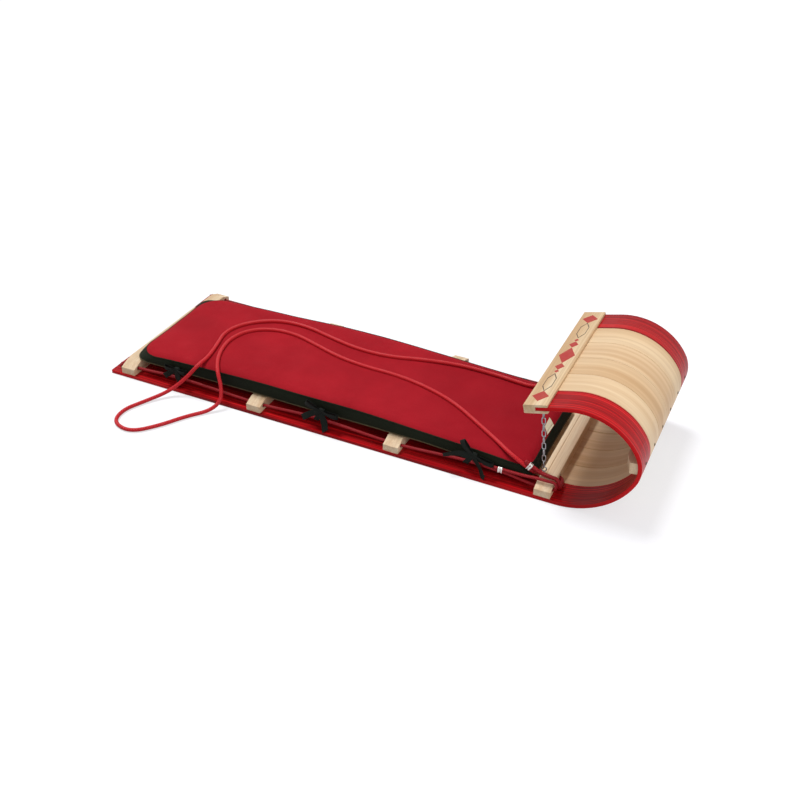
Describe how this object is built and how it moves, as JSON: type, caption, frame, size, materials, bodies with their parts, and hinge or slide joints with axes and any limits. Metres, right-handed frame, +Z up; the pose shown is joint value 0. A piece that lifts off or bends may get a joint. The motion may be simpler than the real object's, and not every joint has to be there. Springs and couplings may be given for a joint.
{
  "type": "toboggan",
  "caption": "Bentwood toboggan: slats curled up at the front into a chained header bar, crosspieces with hand ropes, a tied-on cushion and a tow rope.",
  "frame": {"origin": "on the ground under the middle of the deck's overall length and width", "axes": "+X towards the curled front, +Y to the rider's left, +Z up"},
  "size_m": [1.219, 0.5869, 0.2324],
  "materials": {
    "stained_slat": "red stain under gloss varnish",
    "deck_slat": "clear satin varnish",
    "bar_wood": "clear satin varnish",
    "chain_steel": "bright zinc plate",
    "ferrule_metal": "plain, crimped",
    "hand_rope": "braided cord",
    "tow_rope": "braided cord",
    "cushion_cover": "woven red top, black sides and piping",
    "tie_tape": "woven black tape"
  },
  "bodies": {
    "root": {"crosspiece_eye_left": "chain_steel", "crosspiece_eye_right": "chain_steel", "crosspiece_front": "bar_wood", "crosspiece_mid_front": "bar_wood", "crosspiece_mid_rear": "bar_wood", "crosspiece_rear": "bar_wood", "curl_batten": "bar_wood", "cushion": "cushion_cover", "deck_slat_1": "deck_slat", "deck_slat_2": "deck_slat", "deck_slat_3": "deck_slat", "deck_slat_4": "deck_slat", "hand_ferrule_left": "ferrule_metal", "hand_ferrule_right": "ferrule_metal", "hand_rope_eye_left": "hand_rope", "hand_rope_eye_right": "hand_rope", "hand_rope_knot_left": "hand_rope", "hand_rope_knot_right": "hand_rope", "hand_rope_left": "hand_rope", "hand_rope_right": "hand_rope", "header_bar": "bar_wood", "header_eye_left": "chain_steel", "header_eye_right": "chain_steel", "side_slat_left": "stained_slat", "side_slat_right": "stained_slat", "stay_chain_left": "chain_steel", "stay_chain_right": "chain_steel", "tie_left_1": "tie_tape", "tie_left_2": "tie_tape", "tie_left_3": "tie_tape", "tie_right_1": "tie_tape", "tie_right_2": "tie_tape", "tie_right_3": "tie_tape", "tow_ferrule_left": "ferrule_metal", "tow_ferrule_right": "ferrule_metal", "tow_rope": "tow_rope", "tow_rope_eye_left": "tow_rope", "tow_rope_eye_right": "tow_rope"}
  },
  "joints": []
}
